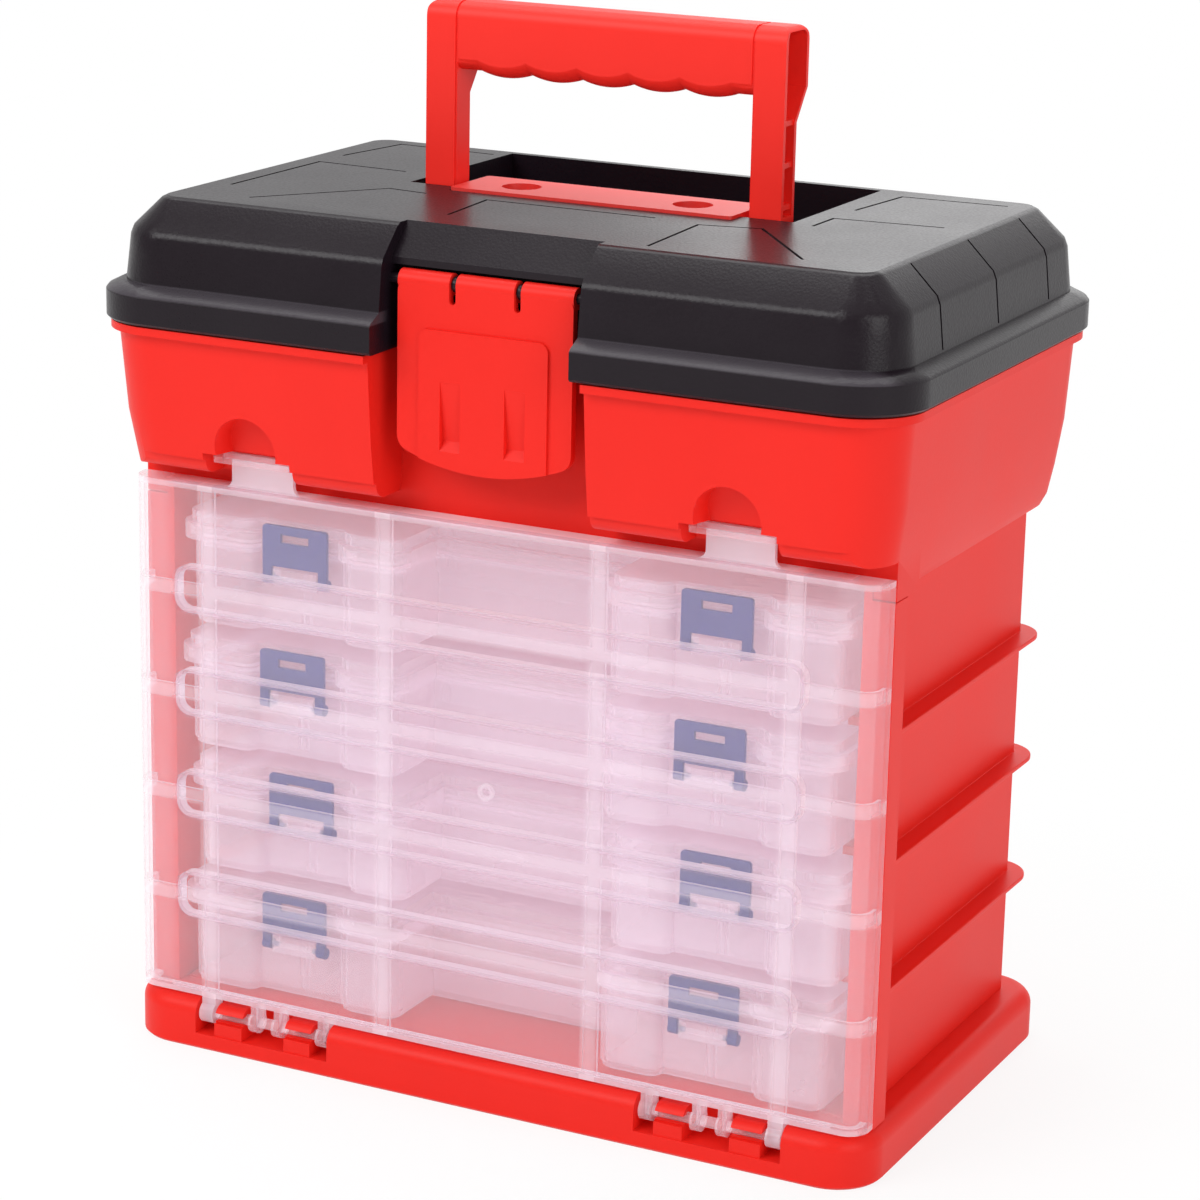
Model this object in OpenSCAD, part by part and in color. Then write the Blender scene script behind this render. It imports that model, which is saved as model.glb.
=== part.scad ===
// Rack tackle box: a cabinet with four clear organiser boxes behind a drop-down clear door,
// a lidded tub on top and a carry handle that folds back into the lid.
// Millimetres. X runs across the front, Y from the front to the back, Z up.
// The origin is the middle of the footprint, on the floor.

/* [Organiser boxes] */
// Width of one organiser box
box_w = 230; // [200:1:260]
// Depth of one organiser box from front to back
box_d = 122.5; // [105:0.5:150]
// Height of one organiser box with its lid closed
box_h = 36.5; // [32:0.5:46]
// Wall of the tray and of its lid
box_wall = 1.6; // [1.2:0.1:2]
// Corner radius of the tray at the back
box_corner = 8; // [5:0.5:12]
// Corner radius of the front lobes
lobe_corner = 7; // [6:0.5:9]
// How far the middle of the front is set back behind the lobes
box_setback = 25; // [18:1:32]
// Width of the inner front lobe
inner_lobe_w = 25.4; // [18:0.1:26]
// Height of the box lid
box_lid_h = 9; // [7:0.5:11]
// How far the tray is set in under the edge of its lid
tray_inset = 1.6; // [1:0.1:2]
// How much further the two ends of the tray are set in
tray_ends = 2; // [0:0.1:3]
// Inset of the raised top of the box lid
box_lid_step = 2.2; // [1:0.1:3]
// Thickness of a divider
divider_t = 1.2; // [0.8:0.1:2]
// Sideways offset of each box in the rack, from the top box down
box_shift = [-0.4, -1.5, 1.7, -1]; // [-1.8:0.1:1.8]

/* [Box latches] */
// Distance from the end of a box to the middle of a box latch
clip_edge = 42.8; // [39:0.1:46]
// Width of a box latch
clip_w = 23.2; // [20:0.1:25]
// Thickness of the latch plate
clip_t = 1.4; // [1:0.1:2]
// Width of one leg of the latch
clip_leg = 3.2; // [2.4:0.1:4]
// Height of the latch hinge above the bottom of the box
clip_axis_h = 18.8; // [17:0.1:20]
// Radius of the latch's hinge studs
clip_pin_r = 0.9; // [0.7:0.05:1.1]
// Width of the recess that the latch sits in
clip_bay_w = 26; // [25.5:0.5:29]
// Depth of the recess that the latch sits in
clip_bay_d = 4; // [3.8:0.1:5]

/* [Cabinet] */
// Thickness of the side and back panels
panel_t = 2.6; // [2.2:0.1:3.4]
// Gap between a box and the side panel
side_gap = 2.5; // [2:0.1:5]
// Gap between a box and the back panel
back_gap = 4; // [3.8:0.1:8]
// Space between two boxes, which holds the shelf
shelf_gap = 4.1; // [3.9:0.1:7]
// Thickness of the shelf that a box slides on
shelf_t = 2.8; // [2:0.1:3]
// Width of the shelf inside the panel
shelf_w = 10; // [8:0.5:12]
// How far the shelves start behind the front posts
shelf_back = 16; // [6:1:24]
// Gap between the floor and the lowest box
box_lift = 1; // [0.5:0.1:2]
// Space between the top box and the underside of the tub
head_gap = 8; // [6:0.5:14]
// How far the front post stands out from the side panel
post_w = 7.4; // [6:0.1:12]
// Depth of the front post
post_d = 9.5; // [7:0.5:14]
// How far the outer ridges stand out from the side panels
ridge_out = 6.4; // [4:0.1:7]
// How far the outer ridges stand out from the back panel
ridge_back = 8.8; // [5:0.1:12]
// Thickness of an outer ridge
ridge_h = 1.4; // [1:0.1:3]
// Corner radius of the outer ridges at the back
ridge_corner = 13; // [4:0.5:15]

/* [Base] */
// Height of the base up to the cabinet floor
base_h = 16.5; // [16:0.5:22]
// Corner radius of the base
base_corner = 16; // [12:1:22]
// Radius of the rounded top edge of the base
base_edge = 5; // [4:0.5:5.5]
// Wall of the base
base_wall = 3; // [2.4:0.1:4]
// How far the base stands out in front of the door
base_front = 3.1; // [2.6:0.1:4]
// How far the base stands out beside the door
base_side = 2.5; // [1.5:0.5:5]
// How far the base stands out behind the back panel
base_back = 14.9; // [12:0.1:18]

/* [Door] */
// Thickness of the door sheet
door_t = 1.6; // [1.3:0.1:2]
// Depth of the door's side returns
door_d = 9.4; // [8:0.1:12]
// Radius of the door's vertical edges
door_corner = 7; // [4:0.5:8]
// Gap between the base and the door
door_lift = 0.8; // [0.6:0.1:1.5]
// Gap between the door and the front blocks of the tub
door_head = 5; // [3.5:0.5:7]
// Width of the flat ribs on the inside
rib_w = 5; // [3:0.5:7]
// Thickness of the flat ribs
rib_t = 1.2; // [0.8:0.1:1.6]
// Distance from the middle to the inner upright ribs
rib_inner_x = 36.5; // [30:0.5:45]
// Distance from the middle to the outer upright ribs and hinge lugs
rib_outer_x = 100; // [96:0.5:104]
// Height of a long bumper loop
loop_h = 15.4; // [12:0.2:18]
// Depth of a bumper loop
loop_d = 5; // [3:0.1:5.4]
// Wall of a bumper loop
loop_wall = 1.3; // [1:0.1:2]
// How far a bumper loop runs past the left outer rib
loop_left = 13.5; // [4:0.5:16]
// How far a bumper loop runs past the right outer rib
loop_right = 3; // [3:0.5:12]
// How far the bumper loops sit below even spacing
loop_drop = 1.2; // [0:0.1:3]
// Distance from the middle to the snap tabs
tab_x = 81; // [76:0.5:84]
// Width of a snap tab
tab_w = 22; // [18:0.5:24]
// Width of the lip on a snap tab
tab_lip_w = 28; // [26:0.5:29]
// Radius of the door's hinge rod
rod_r = 1.75; // [1.5:0.05:2]

/* [Tub] */
// Height of the tub from its underside to the rim
tub_h = 54; // [48:1:70]
// Wall of the tub
tub_wall = 2.6; // [2:0.1:3.2]
// How far the skirt of the tub stands out from the side panels
skirt_out = 3.9; // [3.5:0.1:6]
// How far the skirt hangs below the underside of the tub
skirt_drop = 3.4; // [2.5:0.1:5]
// How far the sides flare out on the way up to the rim
side_flare = 8; // [5:0.5:11]
// How far the front flares out on the way up to the rim
front_flare = 6; // [4:0.5:8]
// Height of the front blocks' bottom above the underside of the tub
block_step = 8.4; // [7:0.1:12]
// Thickness of the rim
rim_t = 2.5; // [2:0.1:3.5]
// Height of the upstand inside the lid
upstand_h = 8; // [5:0.5:8.5]
// Width of the bay for the front latch
bay_w = 72; // [70:1:78]

/* [Lid] */
// Height of the lid
lid_h = 37.5; // [36:0.5:46]
// Gap between the rim of the tub and the lid
lid_gap = 0.6; // [0.4:0.1:2]
// How far the lid stands out from the tub
lid_over = 4; // [3.6:0.1:6]
// Wall of the lid
lid_wall = 2.4; // [2:0.1:3]
// Corner radius of the lid
lid_corner = 22; // [16:1:28]
// Height of the lip of the lid
lip_h = 9.7; // [8:0.1:11]
// Inset of the upper wall behind the lip
lid_inset = 5.2; // [4:0.1:7]
// Width of the sloping edge of the lid top
lid_slope = 9.5; // [7:0.5:12]
// Height of the sloping edge of the lid top
lid_slope_h = 9.3; // [7:0.1:11]
// Width of the lid's bay for the front latch
notch_w = 66; // [64:0.5:68]
// Width of the moulded groove lines
groove_w = 1; // [0.6:0.1:1.6]
// Radius of the lid hinge rod
lid_rod_r = 2; // [1.6:0.1:2.4]
// Distance from the middle to a lid hinge
lid_hinge_x = 70; // [55:1:85]

/* [Handle] */
// Width over the legs of the handle
handle_w = 122.4; // [110:0.5:128]
// Height of the handle above the lid
handle_rise = 57.4; // [50:0.2:59]
// Width of a handle leg
leg_w = 10.7; // [9:0.1:13]
// Depth of a handle leg
leg_d = 9.5; // [8.5:0.1:10]
// Depth of the grip
grip_d = 17; // [14:0.5:17.5]
// Height of the grip
grip_h = 23; // [20:0.5:26]
// Wall of the handle
handle_wall = 1.6; // [1.4:0.1:2.4]
// Distance between two finger lobes
finger_pitch = 17.5; // [15:0.5:19]
// Radius of a finger lobe
finger_r = 24.7; // [20:0.5:40]
// Radius of the rounded lower edges of the grip
grip_edge = 6; // [3:0.5:6.5]
// Radius of the handle pivots
pivot_r = 2.5; // [2:0.1:2.8]
// Gap between the bracket and a handle leg
bracket_gap = 2.2; // [1:0.1:4]
// Depth of the bracket
bracket_d = 25.6; // [22:0.2:28]
// Distance from the end of the bracket to a screw
screw_edge = 18.7; // [15:0.1:26]
// Radius of the counterbores in the bracket
counterbore_r = 6.25; // [5:0.05:7]

/* [Front latch] */
// Width of the front latch
latch_w = 58.4; // [52:0.2:60]
// Length of the front latch below its hinge
latch_len = 50; // [44:0.5:52]
// How far the bottom edge bows down in the middle
latch_bow = 6; // [3:0.5:8]
// Radius of the lower corners of the front latch
latch_corner = 5; // [2:0.5:7]
// Thickness of the front latch
latch_t = 2.8; // [2.4:0.1:3]
// Width of the raised panel on the latch
latch_panel_w = 43; // [38:0.5:46]
// Distance from the middle to the slits and finger grooves
slit_x = 10.8; // [9:0.1:13]
// Radius of the latch's hinge rod
latch_rod_r = 1.6; // [1.3:0.1:1.8]

/* [Fits] */
// Radial play of a rod in its bore
play = 0.06; // [0.03:0.01:0.09]
// Gap between pieces that slide on or seat in each other
fit_gap = 0.3; // [0.2:0.05:0.5]

/* [Hidden] */
$fn = 64;
loft_fn = 40;
skin = 0.2;
over = 1;
red = [0.95, 0.13, 0.11];
black = [0.11, 0.11, 0.12];
clear = [0.93, 0.9, 0.92, 0.4];
blue = [0.22, 0.32, 0.68];
steel = [0.7, 0.7, 0.72];
box_count = 4;

// Across the width, as distances from the middle
panel_in = box_w / 2 + side_gap;
panel_out = panel_in + panel_t;
door_half = panel_out + post_w;
base_half = door_half + base_side;
skirt_half = panel_out + skirt_out;
tub_half = skirt_half + side_flare;
lid_half = tub_half + lid_over;

// From the front to the back
box_to_door = door_t + loop_d + 1.3;
base_d = base_front + box_to_door + box_d + back_gap + panel_t + base_back;
door_y = -base_d / 2 + base_front;
box_y = door_y + box_to_door;
back_in = box_y + box_d + back_gap;
back_out = back_in + panel_t;
post_y = door_y + door_d + 0.4;
step_y = post_y + 0.4;
block_y = door_y - 4.2;
tub_y0 = block_y - front_flare;
tub_y1 = back_out + base_back + 1.7;
lid_y0 = tub_y0 - lid_over;
lid_y1 = tub_y1 + lid_over;
tongue_half = base_d / 12;

// From the floor up
box_pitch = box_h + shelf_gap;
roof_z = base_h + box_lift + box_count * box_pitch - shelf_gap + head_gap;
skirt_z = roof_z - skirt_drop;
block_z = roof_z + block_step;
door_z0 = base_h + door_lift;
door_z1 = block_z - door_head;
door_h = door_z1 - door_z0;
rim_z = roof_z + tub_h;
lid_z = rim_z + lid_gap;
lid_top = lid_z + lid_h;
floor_z = roof_z + 3;
function box_z(i) = base_h + box_lift + (box_count - i) * box_pitch;

// Hinge of the door, with lugs in two groups and a red clip between each pair of lugs
rod_y = door_y + 1.4;
rod_z = door_z0 - 5.5;
lug_r = 3.4;
lug_gap = 17.2;
lugs = [[rib_outer_x, rib_w], [rib_outer_x - lug_gap - 0.2, 3], [rib_outer_x - 26, 3],
        [rib_outer_x - 26 - lug_gap + 0.4, 4]];
clip_spans = [[lugs[1][0] + 3.6, lugs[0][0] - 3.6], [lugs[3][0] + 3.6, lugs[2][0] - 3.6]];
pocket_in = lugs[3][0] - 3;
pocket_out = lugs[0][0] + 3.2;
pocket_y = post_y - 1.4;

// Hinge of the lid
knuckle_r = lid_rod_r + 2;
lid_rod_y = lid_y1 + knuckle_r + 0.5;
lid_rod_z = lid_z - 1.3;
knuckle_w = 16;
lid_lug_t = 4;

// Corner radius of the upper part of the lid
upper_corner = max(lid_corner - 3, lid_slope + lid_wall + 6);

// Front latch in its bay
latch_r = 3.3;
latch_y = tub_y0 + 9.3;
latch_z = lid_top - lid_slope_h - 6.5;
bay_wall_y = step_y + 5.6;
notch_y = latch_y + latch_r + 1;
notch_top_y = notch_y + 5;
catch_y = latch_y + 2.7;
bow_r = (latch_w * latch_w / 4 + latch_bow * latch_bow) / (2 * latch_bow);
bow_z = latch_z - latch_len - latch_bow + bow_r;

// Handle and its well
pivot_y = -leg_d / 2 + 4.5;
pivot_z = lid_top - leg_d / 2 + 0.75;
well_floor = pivot_z - grip_d + leg_d / 2 - 1.3;
well_half = handle_w / 2 + 4.8;
well_y1 = pivot_y + handle_rise + lid_top - pivot_z + 0.9;
well_y0 = pivot_y - leg_d / 2 - 1.2;
seat_z = pivot_z - pivot_r - 1.5;
opening_half = handle_w / 2 - leg_w;
bracket_w = 2 * (opening_half - bracket_gap);
screw_x = bracket_w / 2 - screw_edge;
grip_z = lid_top + handle_rise - grip_h;
finger_half = finger_pitch / 2;
finger_drop = finger_r - sqrt(finger_r * finger_r - finger_half * finger_half);

// Organiser box, counted from its front and its bottom
tray_h = box_h - box_lid_h;
tray_floor = 2.4;
lip_inset = tray_inset + box_wall + fit_gap;
box_hinge_y = box_d + 1.8;
clip_x = box_w / 2 - clip_edge;
lobe_start = clip_x - clip_bay_w / 2 - inner_lobe_w;
mid_wall_y = box_setback + (box_d - box_setback) / 2;
clip_y = 1.8;
clip_plate_z = clip_axis_h + 4.2;
clip_top_z = box_h - 0.3;

BOX_PIECES = ["tray", "lid", "latch_left", "latch_right", "dividers"];

// Flat rectangle with round corners, given by its edges
module round_span(x0, x1, y0, y1, r) {
    translate([x0 + r, y0]) square([x1 - x0 - 2 * r, y1 - y0]);
    translate([x0, y0 + r]) square([x1 - x0, y1 - y0 - 2 * r]);
    for (x = [x0 + r, x1 - r], y = [y0 + r, y1 - r])
        translate([x, y]) circle(r);
}

// Thin slice of a shell, to be joined to the next slice by a hull
module slice(half, y0, y1, r, z)
    translate([0, 0, z]) linear_extrude(skin) round_span(-half, half, y0, y1, r, $fn = loft_fn);

// A flat outline in Y and Z, carried along X
module along_x(x0, x1)
    translate([x0, 0, 0]) rotate([90, 0, 90]) linear_extrude(x1 - x0) children();

// A flat outline in X and Z, carried along Y
module along_y(y0, y1)
    translate([0, y1, 0]) rotate([90, 0, 0]) linear_extrude(y1 - y0) children();

// A round bar along X
module bar_x(x0, x1, y, z, r)
    translate([x0, y, z]) rotate([0, 90, 0]) cylinder(h = x1 - x0, r = r);

// A box given by its edges
module span(x0, x1, y0, y1, z0, z1)
    translate([x0, y0, z0]) cube([x1 - x0, y1 - y0, z1 - z0]);

// A solid with round corners whose edge follows a flat outline: X counts outward from the corner
// centres up to the corner radius r, Y is the height
module edge_sweep(half, y0, y1, r, z0, z1) {
    x1 = half - r;
    span(-x1, x1, y0 + r, y1 - r, z0, z1);
    both_sides() translate([x1, 0, 0]) along_y(y0 + r, y1 - r) children();
    translate([0, y1 - r, 0]) along_x(-x1, x1) children();
    translate([0, y0 + r, 0]) mirror([0, 1, 0]) along_x(-x1, x1) children();
    for (c = [[x1, y1 - r, 0], [-x1, y1 - r, 90], [-x1, y0 + r, 180], [x1, y0 + r, 270]])
        translate([c[0], c[1], 0]) rotate([0, 0, c[2]]) rotate_extrude(angle = 90) children();
}

// The same shape on the left and on the right
module both_sides() {
    children();
    mirror([1, 0, 0]) children();
}

// Base: a hollow plinth with ribs below, pockets for the door lugs, open clips for its rods and
// two runners for the lowest box
module base() color(red) {
    y0 = -base_d / 2;
    difference() {
        edge_sweep(base_half, y0, -y0, base_corner, 0, base_h) base_edge_outline();
        base_hollow(y0);
        both_sides() span(pocket_in, pocket_out, y0 - over, pocket_y, rod_z - 6.3, base_h + over);
        both_sides() side_tongues(fit_gap / 2);
        back_tongues(fit_gap / 2);
    }
    both_sides() for (c = clip_spans) door_clip(c[0], c[1]);
    both_sides() span(panel_in - shelf_w, panel_in - 1, step_y + 4, back_in - 3, base_h - 0.5,
        base_h + box_lift - fit_gap);
}

// Edge of the base: a small slope at the floor and a large round at the top
module base_edge_outline() {
    polygon([[0, 0], [base_corner - 1, 0], [base_corner, 1], [base_corner, base_h - base_edge],
        [0, base_h - base_edge]]);
    square([base_corner - base_edge, base_h]);
    translate([base_corner - base_edge, base_h - base_edge]) circle(base_edge);
}

// The hollow under the base, with its ribs left standing and walls kept round the hinge pockets
module base_hollow(y0) {
    deck = base_h - 3;
    rib = 2.4;
    difference() {
        translate([0, 0, -over]) linear_extrude(deck + over)
            round_span(-base_half + base_wall, base_half - base_wall, y0 + base_wall, -y0 - base_wall,
                base_corner - base_wall);
        span(-base_half, base_half, -rib / 2, rib / 2, -2 * over, deck);
        for (x = [-base_half / 2, 0, base_half / 2])
            span(x - rib / 2, x + rib / 2, y0, -y0, -2 * over, deck);
        both_sides() span(pocket_in - base_wall, pocket_out + base_wall, y0, pocket_y + base_wall,
            rod_z - 6.3 - base_wall, deck);
    }
}

// One open clip of the door hinge: a block round the rod with a slot to the front
module door_clip(x0, x1)
    along_x(x0, x1) difference() {
        union() {
            translate([rod_y, rod_z - 6.3]) square([pocket_y - rod_y + 0.5, 9.8]);
            translate([rod_y - 4, rod_z - 6.3]) square([4.2, 4.4]);
            translate([rod_y, rod_z]) circle(3.4);
        }
        translate([rod_y, rod_z]) circle(rod_r + play);
        translate([rod_y - 6, rod_z - 1.3]) square([6, 2.6]);
    }

// Tongues under a side panel that drop into slots in the base
module side_tongues(grow)
    for (y = [-base_d / 5, base_d / 4])
        span(panel_in + 0.5 - grow, panel_out - 0.5 + grow, y - tongue_half - grow, y + tongue_half + grow,
            base_h - 3, base_h + 0.5);

// The same under the back panel
module back_tongues(grow)
    for (x = [-panel_in / 2, panel_in / 2])
        span(x - tongue_half - grow, x + tongue_half + grow, back_in + 0.5 - grow, back_out - 0.5 + grow,
            base_h - 3, base_h + 0.5);

// One side panel: wall, front post, three outer ridges and three inner shelves
module side_panel() {
    span(panel_in, panel_out, post_y, back_out, base_h, roof_z);
    span(panel_in, door_half, post_y, post_y + panel_t, base_h, skirt_z - fit_gap);
    span(door_half - panel_t, door_half, post_y, post_y + post_d, base_h, skirt_z - fit_gap);
    for (i = [1:box_count - 1]) side_shelf(i);
}

// Shelf for box i on the inside and its ridge on the outside, which turns the back corner
module side_shelf(i) {
    top = box_z(i) - fit_gap;
    span(panel_in - shelf_w, panel_in + 0.5, post_y + shelf_back, back_in - fit_gap, top - shelf_t, top);
    translate([0, 0, top - ridge_h]) linear_extrude(ridge_h) intersection() {
        ridge_plan();
        translate([panel_in, post_y + 1]) square(base_d);
    }
}

// The thin outer ridge seen from above: it runs round both sides and the back of the cabinet
module ridge_plan() {
    half = panel_out + ridge_out;
    difference() {
        round_span(-half, half, post_y - 20, back_out + ridge_back, ridge_corner);
        translate([-panel_out + 0.5, -base_d]) square([2 * panel_out - 1, base_d + back_out - 0.5]);
    }
}

module right_panel() color(red) {
    side_panel();
    side_tongues(0);
}

module left_panel() mirror([1, 0, 0]) right_panel();

// Back panel between the side panels, with its stretch of the three outer ridges
module back_panel() color(red) {
    half = panel_in - 0.1;
    span(-half, half, back_in, back_out, base_h, roof_z);
    for (i = [1:box_count - 1])
        translate([0, 0, box_z(i) - fit_gap - ridge_h]) linear_extrude(ridge_h) intersection() {
            ridge_plan();
            translate([-half, back_in]) square([2 * half, base_d]);
        }
    back_tongues(0);
}

// Outline of the tub at a height: half width, front edge, back edge
module tub_slice(z, grow, front, back, r)
    slice(skirt_half + grow, block_y - front, tub_y1 - 1.6 + back, r, z);

// Tub: flared shell with rim, upstand, latch bay, door step, thumb scoops and hinge clips
module tub() color(red) {
    difference() {
        union() {
            tub_shell();
            translate([0, 0, rim_z - rim_t]) linear_extrude(rim_t)
                round_span(-lid_half + 1.4, lid_half - 1.4, lid_y0 + 1.4, lid_y1 - 1.4, lid_corner - 1.4);
            translate([0, 0, rim_z - rim_t]) linear_extrude(rim_t + upstand_h)
                round_span(-tub_half + 0.6, tub_half - 0.6, tub_y0 + 0.6, tub_y1 - 0.6, lid_corner - 4);
            both_sides() span(skirt_half - 4, door_half, step_y, step_y + 17, skirt_z, block_z + 2);
        }
        tub_hollow();
        door_step();
        along_x(-bay_w / 2, bay_w / 2) bay_outline(0);
        both_sides() tab_notch();
        under_tub();
    }
    span(-14, 14, catch_y, bay_wall_y - 1, block_z + 28, block_z + 33);
    both_sides() lid_clip();
}

module tub_shell() {
    mid = (skirt_z + rim_z) / 2;
    hull() {
        tub_slice(rim_z - rim_t, side_flare, front_flare, 1.6, 18);
        tub_slice(mid, side_flare * 0.78, front_flare * 0.6, 0.8, 17);
        tub_slice(block_z + 2, side_flare * 0.48, front_flare * 0.2, 0.2, 16);
        tub_slice(skirt_z + 4, side_flare * 0.2, 0, 0, 15);
        tub_slice(skirt_z, -0.6, -1, -0.6, 14);
    }
}

// Inside of the tub, kept clear of the bay, the step over the door and the tab notches
module tub_hollow()
    difference() {
        hull() {
            tub_slice(rim_z + upstand_h + over, side_flare - 0.4 - tub_wall, front_flare - 0.4 - tub_wall,
                1 - tub_wall, 16);
            tub_slice(rim_z - rim_t, side_flare - 0.6 - tub_wall, front_flare - 0.6 - tub_wall,
                1 - tub_wall, 16);
            tub_slice(floor_z + 6, side_flare * 0.3 - tub_wall, -tub_wall, -tub_wall, 14);
            tub_slice(floor_z, -tub_wall - 3, -tub_wall - 3, -tub_wall - 3, 11);
        }
        span(-lid_half, lid_half, lid_y0, step_y + tub_wall, roof_z, block_z + tub_wall);
        along_x(-bay_w / 2 - tub_wall, bay_w / 2 + tub_wall) bay_outline(tub_wall);
        both_sides() span(tab_x - 18, tab_x + 18, lid_y0, post_y - 1.4, roof_z, block_z + 22);
    }

// Room for the door under the front blocks, with a round lower edge on the blocks
module door_step()
    along_x(-lid_half, lid_half) difference() {
        translate([lid_y0, skirt_z - over]) square([step_y - lid_y0, block_z + 5 - skirt_z + over]);
        translate([block_y + 4.5, block_z]) square([step_y - block_y, 20]);
        translate([block_y + 4.6, block_z + 5]) circle(5);
    }

// Bay of the front latch seen from the side, moved back by a wall for the liner
module bay_outline(wall)
    polygon([[lid_y0 - over, skirt_z - over], [step_y + wall, skirt_z - over], [step_y + wall, block_z + 1],
        [bay_wall_y + wall, rim_z - rim_t], [bay_wall_y + wall, lid_top], [lid_y0 - over, lid_top]]);

// Notch for a door tab with a thumb scoop above it
module tab_notch() {
    lip_z = block_z + 7.2;
    span(tab_x - 15.5, tab_x + 15.5, lid_y0, post_y - 4, block_z - over, lip_z);
    translate([tab_x, block_y + 5, lip_z + 3.6]) rotate([100, 0, 0]) cylinder(h = 20, r1 = 9.5, r2 = 13);
}

// Hollow under the tub floor for the tops of the panels, with a locating rib behind the back panel
module under_tub() {
    half = panel_out + 0.15;
    difference() {
        translate([0, 0, skirt_z - over]) linear_extrude(roof_z - skirt_z + over)
            round_span(-half, half, step_y - 15, tub_y1 - 1.6 - tub_wall, 12);
        span(-half, half, back_out + 0.15, back_out + 2.4, skirt_z, roof_z + over);
    }
}

// Open clip at the back of the rim that holds one lid hinge rod
module lid_clip() {
    x0 = lid_hinge_x - knuckle_w / 2;
    along_x(x0, x0 + knuckle_w) difference() {
        union() {
            translate([lid_rod_y, lid_rod_z]) circle(knuckle_r);
            polygon([[lid_y1 - 4, rim_z - rim_t], [lid_rod_y, lid_rod_z - knuckle_r], [lid_rod_y, lid_rod_z],
                [lid_y1 - 4, rim_z]]);
        }
        translate([lid_rod_y, lid_rod_z]) circle(lid_rod_r + play);
        translate([lid_rod_y, lid_rod_z - 1.4]) square([knuckle_r + over, 2.8]);
    }
}

// Lid: stepped shell with a sloping edge, the latch bay, the handle well and the hinge rods
module lid() color(black) {
    difference() {
        lid_outside();
        lid_hollow();
        along_x(-notch_w / 2, notch_w / 2) notch_outline(0);
        handle_well();
        lid_grooves();
        both_sides() side_grooves();
    }
    latch_hinge();
    both_sides() lid_lugs();
}

// Outside of the lid: a rounded lip below and a sloping upper part set in behind it
module lid_outside() {
    lip_top = lid_z + lip_h;
    in = lid_corner - lid_inset;
    edge_sweep(lid_half, lid_y0, lid_y1, lid_corner, lid_z, lip_top)
        polygon([[0, lid_z], [lid_corner - 0.8, lid_z], [lid_corner, lid_z + 0.8], [lid_corner, lip_top - 1],
            [lid_corner - 0.8, lip_top], [in, lip_top + 2.2], [0, lip_top + 2.2]]);
    upper_sweep(lip_top - 2, lid_top) upper_outline(0, lip_top - 2, lid_top);
}

// The upper part of the lid, made from its edge outline
module upper_sweep(z0, z1) {
    in = lid_inset;
    edge_sweep(lid_half - in, lid_y0 + in, lid_y1 - in, upper_corner, z0, z1) children();
}

module upper_outline(wall, z0, z1) {
    shoulder = lid_top - lid_slope_h;
    r = upper_corner - wall;
    polygon([[0, z0], [r, z0], [r, lid_z + lip_h], [r - 1.8, shoulder - 2.5], [r - 2.8, shoulder],
        [r - 2.8 - lid_slope + 1, lid_top - wall - 0.9], [r - 2.8 - lid_slope - 0.8, z1], [0, z1]]);
}

// Inside of the lid, kept clear of the liner of the latch bay and of the handle well
module lid_hollow()
    difference() {
        union() {
            translate([0, 0, lid_z - over]) linear_extrude(lip_h + over)
                round_span(-lid_half + lid_wall, lid_half - lid_wall, lid_y0 + lid_wall, lid_y1 - lid_wall,
                    lid_corner - lid_wall);
            upper_sweep(lid_z + lip_h - over, lid_top - lid_wall)
                upper_outline(lid_wall, lid_z + lip_h - over, lid_top - lid_wall);
        }
        along_x(-notch_w / 2 - lid_wall, notch_w / 2 + lid_wall) notch_outline(lid_wall);
        span(-well_half - lid_wall, well_half + lid_wall, -bracket_d / 2 - lid_wall - 0.2, well_y1 + lid_wall,
            well_floor - lid_wall, lid_top);
    }

// Latch bay of the lid seen from the side, moved back by a wall for the liner
module notch_outline(wall)
    polygon([[lid_y0 - over, lid_z - 2 * over], [notch_y + wall, lid_z - 2 * over], [notch_y + wall, latch_z + 4.2],
        [notch_y - 4.5 + wall, latch_z + 4.2], [notch_y - 4.5 + wall, lid_top - 9.5],
        [notch_top_y + wall, lid_top + skin], [notch_top_y + wall, lid_top + over], [lid_y0 - over, lid_top + over]]);

// Well for the folded handle, with a raised seat for the bracket and holes for its screws
module handle_well() {
    half = bracket_w / 2 + 0.2;
    difference() {
        span(-well_half, well_half, well_y0, well_y1, well_floor, lid_top + over);
        span(-half - 0.2, half + 0.2, well_y0 - over, bracket_d / 2 + 0.2, well_floor - over, seat_z);
    }
    span(-half, half, -bracket_d / 2 - 0.2, bracket_d / 2 + 0.2, seat_z, lid_top + over);
    for (x = [-screw_x, screw_x])
        translate([x, 0, seat_z - 7]) cylinder(h = 7 + over, r = 2 + play);
}

// Rod and lugs on which the front latch swings
module latch_hinge() {
    bar_x(-notch_w / 2 - 1, notch_w / 2 + 1, latch_y, latch_z, latch_rod_r);
    both_sides() along_x(slit_x - 0.7, slit_x + 0.7) {
        translate([latch_y, latch_z]) circle(2.4);
        translate([latch_y, latch_z - 1.8]) square([notch_y - latch_y + 1, 3.6]);
    }
}

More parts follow.
